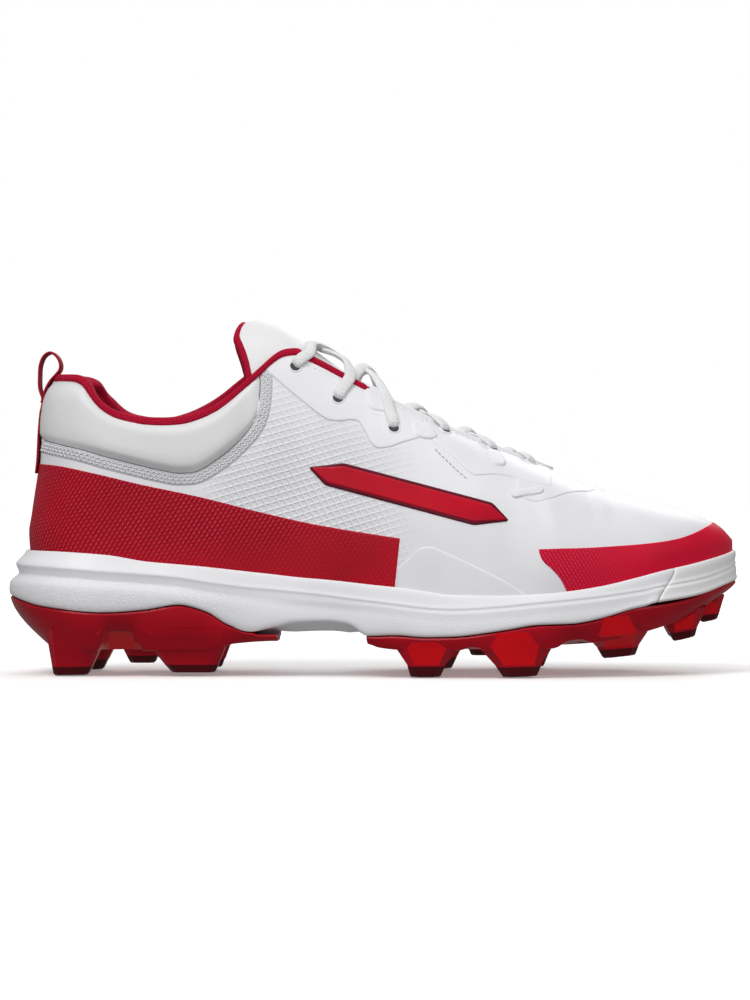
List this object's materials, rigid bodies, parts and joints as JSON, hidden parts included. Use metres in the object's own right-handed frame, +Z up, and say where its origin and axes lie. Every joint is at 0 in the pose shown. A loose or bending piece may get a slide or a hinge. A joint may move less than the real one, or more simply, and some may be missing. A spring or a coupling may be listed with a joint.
{
  "type": "baseball cleat",
  "caption": "Right low-top baseball shoe with a hollow lasted upper, padded collar, laced tongue, sculpted midsole and moulded studded outsole.",
  "frame": {"origin": "on the ground under the middle of the shoe's box, at the stud tips", "axes": "+X to the toe, +Z up, -Y to the little-toe side of the right foot"},
  "size_m": [0.3011, 0.1034, 0.1446],
  "materials": {
    "upper": "smooth coated synthetic leather, white with crimson panels",
    "midsole": "moulded foam, satin white",
    "toe_bumper": "moulded rubber, satin off-white",
    "outsole": "translucent dark red moulded plastic",
    "insole": "knitted top cloth",
    "tongue": "padded textile, white",
    "laces": "woven flat lace, white",
    "trim": "woven ribbon and edge binding, crimson"
  },
  "bodies": {
    "root": {"upper": "upper", "midsole": "midsole", "toe_bumper": "toe_bumper", "outsole_heel": "outsole", "outsole_forefoot": "outsole", "insole": "insole", "tongue": "tongue", "laces": "laces", "pull_loop": "trim"}
  },
  "joints": []
}
